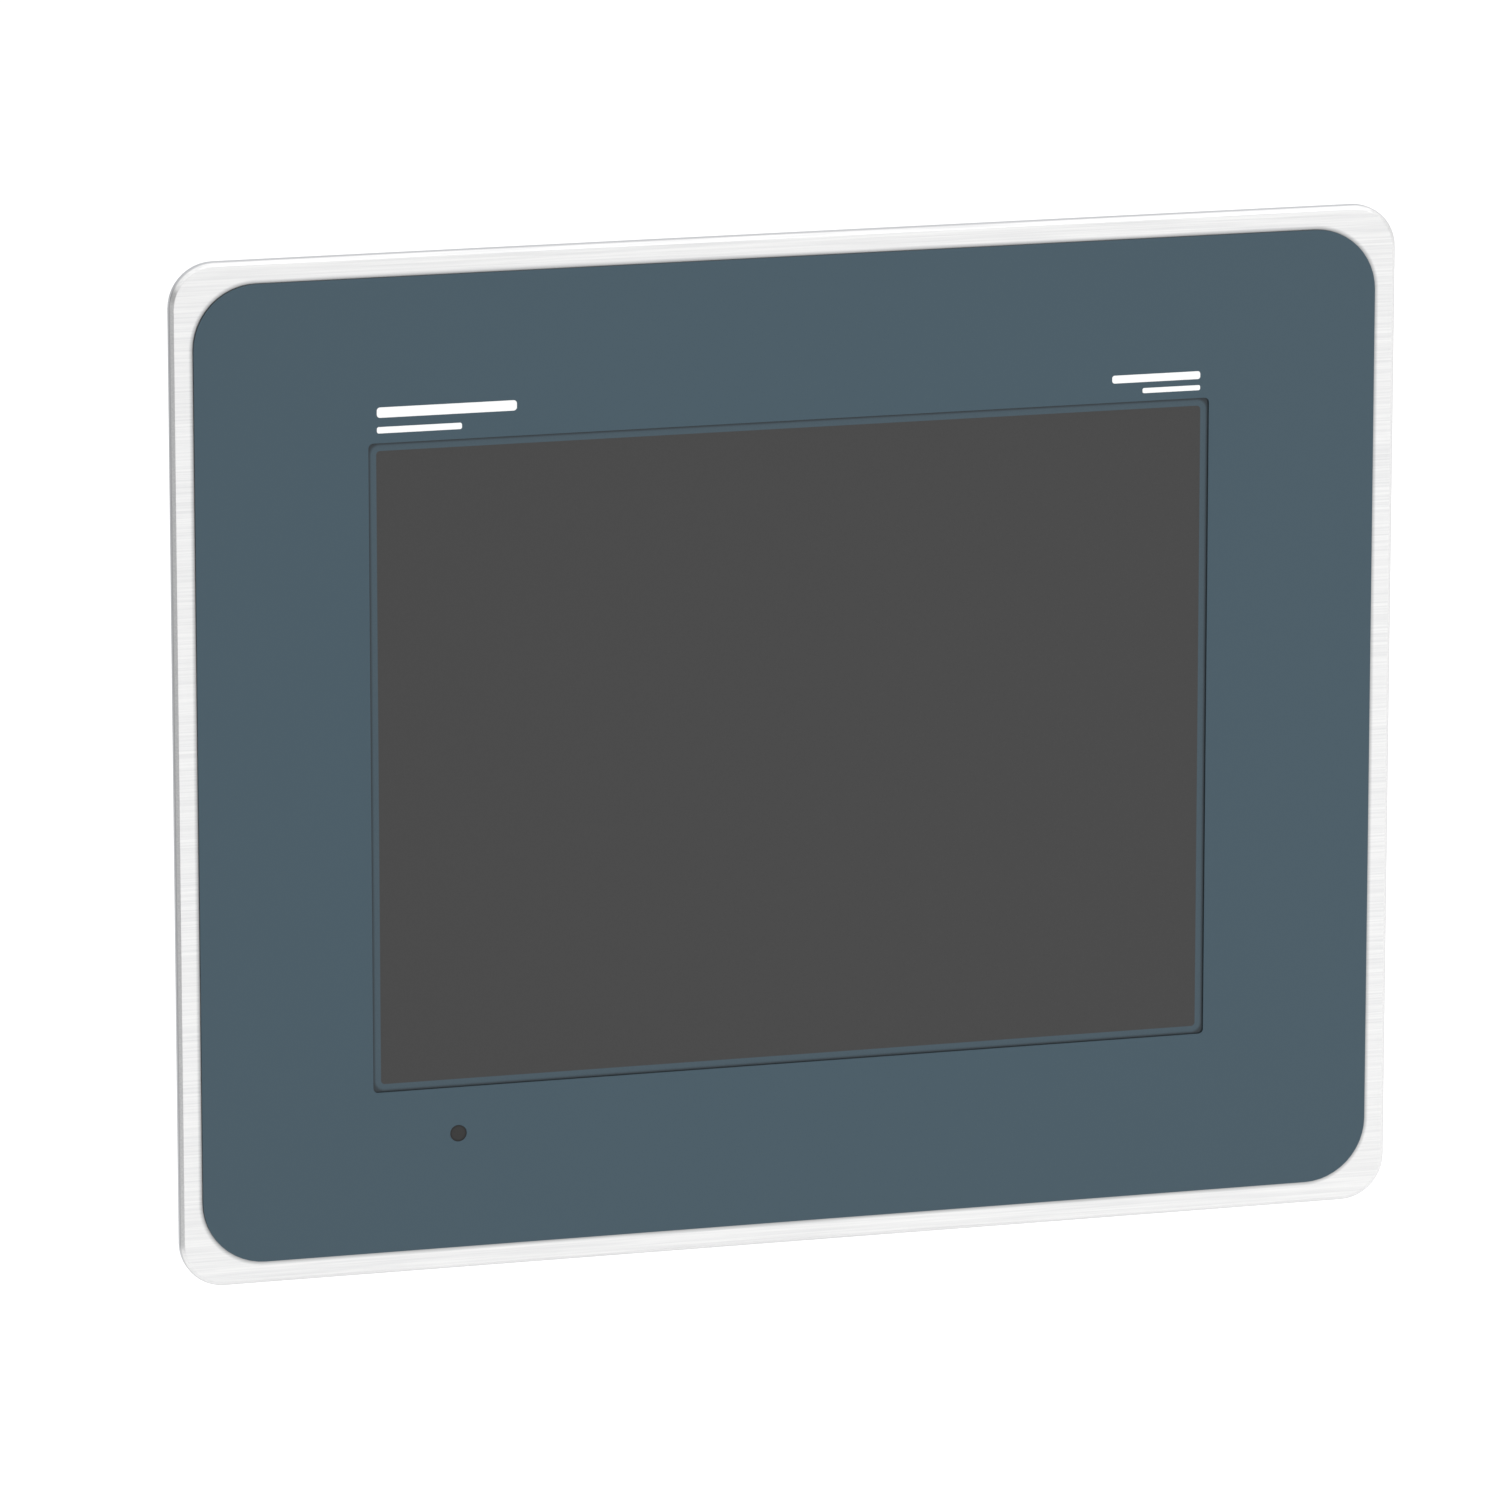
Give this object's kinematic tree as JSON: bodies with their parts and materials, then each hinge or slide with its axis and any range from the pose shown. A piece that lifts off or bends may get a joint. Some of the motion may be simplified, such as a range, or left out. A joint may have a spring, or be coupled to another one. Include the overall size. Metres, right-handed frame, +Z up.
{
  "type": "hmi touch panel",
  "caption": "Panel-mount operator terminal: stainless front plate, dark touch screen in a grey overlay, black rear housing with clamps and ports.",
  "frame": {"origin": "centre of the panel cut-out, on the control panel's front face where the gasket presses", "axes": "+X right and +Z up seen from the front, +Y from the front to the rear"},
  "size_m": [0.3166, 0.0572, 0.2586],
  "materials": {
    "stainless_plate": "fine horizontal brushing",
    "overlay_film": "fine matt printed film",
    "touch_film": "satin dark film",
    "clear_glass": "clear",
    "foam": "closed-cell foam",
    "gasket_rubber": "matt black",
    "flex_film": "amber polyimide",
    "lens_plastic": "smoked",
    "green_board": "solder mask",
    "zinc_steel": "zinc plated",
    "lcd_steel": "plain sheet steel",
    "frame_steel": "galvanised sheet",
    "lcd_cell": "dark polarised glass",
    "diffuser": "white translucent",
    "guide_acrylic": "clear acrylic",
    "light_strip": "white strip",
    "mould_white": "white moulding",
    "housing_black": "fine-textured black",
    "chip_black": "moulded black",
    "sink_aluminium": "black anodised",
    "capacitor_can": "bare can",
    "cell_steel": "plated steel",
    "holder_black": "moulded black",
    "socket_metal": "tinned shell",
    "terminal_green": "moulded green",
    "label_silver": "blank silver film",
    "clamp_steel": "zinc die casting",
    "clamp_screw_steel": "zinc plated",
    "clamp_pad_plastic": "black nylon"
  },
  "bodies": {
    "terminal": {"front_plate": "stainless_plate", "front_overlay": "overlay_film", "touch_film": "touch_film", "touch_glass": "clear_glass", "touch_foam": "foam", "panel_gasket": "gasket_rubber", "touch_tail": "flex_film", "lcd_cable": "flex_film", "status_lens": "lens_plastic", "main_board": "green_board", "lcd_board": "green_board", "status_board": "green_board", "plate_studs": "zinc_steel", "stud_nuts": "zinc_steel", "lcd_screws": "zinc_steel", "board_screws": "zinc_steel", "cover_screws": "zinc_steel", "earth_screw": "zinc_steel", "board_posts": "zinc_steel", "door_pin": "zinc_steel", "serial_jackscrews": "zinc_steel", "lcd_bezel": "lcd_steel", "lcd_tray": "lcd_steel", "mounting_frame": "frame_steel", "lcd_cell": "lcd_cell", "diffuser_sheets": "diffuser", "light_guide": "guide_acrylic", "backlight_strip": "light_strip", "lcd_mould": "mould_white", "front_frame": "housing_black", "rear_cover": "housing_black", "processor": "chip_black", "memory_chips": "chip_black", "heat_sink": "sink_aluminium", "capacitors": "capacitor_can", "backup_battery": "cell_steel", "battery_holder": "holder_black", "power_header": "holder_black", "card_socket": "socket_metal", "ethernet_jack": "socket_metal", "usb_host_socket": "socket_metal", "usb_device_socket": "socket_metal", "serial_port": "socket_metal", "rating_label": "label_silver", "clamp_brackets": "clamp_steel"},
    "card_door": {"card_door": "housing_black"},
    "power_plug": {"power_plug": "terminal_green", "wire_screws": "zinc_steel"},
    "pad_1": {"clamp_pad_1": "clamp_pad_plastic"},
    "screw_1": {"clamp_screw_1": "clamp_screw_steel"},
    "pad_2": {"clamp_pad_2": "clamp_pad_plastic"},
    "screw_2": {"clamp_screw_2": "clamp_screw_steel"},
    "pad_3": {"clamp_pad_3": "clamp_pad_plastic"},
    "screw_3": {"clamp_screw_3": "clamp_screw_steel"},
    "pad_4": {"clamp_pad_4": "clamp_pad_plastic"},
    "screw_4": {"clamp_screw_4": "clamp_screw_steel"},
    "pad_5": {"clamp_pad_5": "clamp_pad_plastic"},
    "screw_5": {"clamp_screw_5": "clamp_screw_steel"},
    "pad_6": {"clamp_pad_6": "clamp_pad_plastic"},
    "screw_6": {"clamp_screw_6": "clamp_screw_steel"}
  },
  "joints": [
    {"name": "pad_slide_1", "type": "slide", "parent": "terminal", "child": "pad_1", "axis": [0, -1, 0], "range_m": [0, 0.0056]},
    {"name": "screw_turn_1", "type": "hinge", "parent": "pad_1", "child": "screw_1", "pos_m": [0.1, 0.02, 0.1075], "axis": [0, -1, 0], "range_deg": [0, 2520.1]},
    {"name": "pad_slide_2", "type": "slide", "parent": "terminal", "child": "pad_2", "axis": [0, -1, 0], "range_m": [0, 0.0056]},
    {"name": "screw_turn_2", "type": "hinge", "parent": "pad_2", "child": "screw_2", "pos_m": [-0.1, 0.02, 0.1075], "axis": [0, -1, 0], "range_deg": [0, 2520.1]},
    {"name": "pad_slide_3", "type": "slide", "parent": "terminal", "child": "pad_3", "axis": [0, -1, 0], "range_m": [0, 0.0056]},
    {"name": "screw_turn_3", "type": "hinge", "parent": "pad_3", "child": "screw_3", "pos_m": [0.1365, 0.02, 0], "axis": [0, -1, 0], "range_deg": [0, 2520.1]},
    {"name": "pad_slide_4", "type": "slide", "parent": "terminal", "child": "pad_4", "axis": [0, -1, 0], "range_m": [0, 0.0056]},
    {"name": "screw_turn_4", "type": "hinge", "parent": "pad_4", "child": "screw_4", "pos_m": [0.1, 0.02, -0.1075], "axis": [0, -1, 0], "range_deg": [0, 2520.1]},
    {"name": "pad_slide_5", "type": "slide", "parent": "terminal", "child": "pad_5", "axis": [0, -1, 0], "range_m": [0, 0.0056]},
    {"name": "screw_turn_5", "type": "hinge", "parent": "pad_5", "child": "screw_5", "pos_m": [-0.1, 0.02, -0.1075], "axis": [0, -1, 0], "range_deg": [0, 2520.1]},
    {"name": "pad_slide_6", "type": "slide", "parent": "terminal", "child": "pad_6", "axis": [0, -1, 0], "range_m": [0, 0.0056]},
    {"name": "screw_turn_6", "type": "hinge", "parent": "pad_6", "child": "screw_6", "pos_m": [-0.1365, 0.02, 0], "axis": [0, -1, 0], "range_deg": [0, 2520.1]},
    {"name": "card_door_hinge", "type": "hinge", "parent": "terminal", "child": "card_door", "pos_m": [-0.1162, 0.045, 0.037], "axis": [0, 0, -1], "range_deg": [0, 110]},
    {"name": "power_plug_slide", "type": "slide", "parent": "terminal", "child": "power_plug", "axis": [0, 0, -1], "range_m": [0, 0.02]}
  ],
  "couplings": [
    {"joint": "screw_turn_1", "follows": "pad_slide_1", "rad_per_m": 7854},
    {"joint": "screw_turn_2", "follows": "pad_slide_2", "rad_per_m": 7854},
    {"joint": "screw_turn_3", "follows": "pad_slide_3", "rad_per_m": 7854},
    {"joint": "screw_turn_4", "follows": "pad_slide_4", "rad_per_m": 7854},
    {"joint": "screw_turn_5", "follows": "pad_slide_5", "rad_per_m": 7854},
    {"joint": "screw_turn_6", "follows": "pad_slide_6", "rad_per_m": 7854}
  ]
}
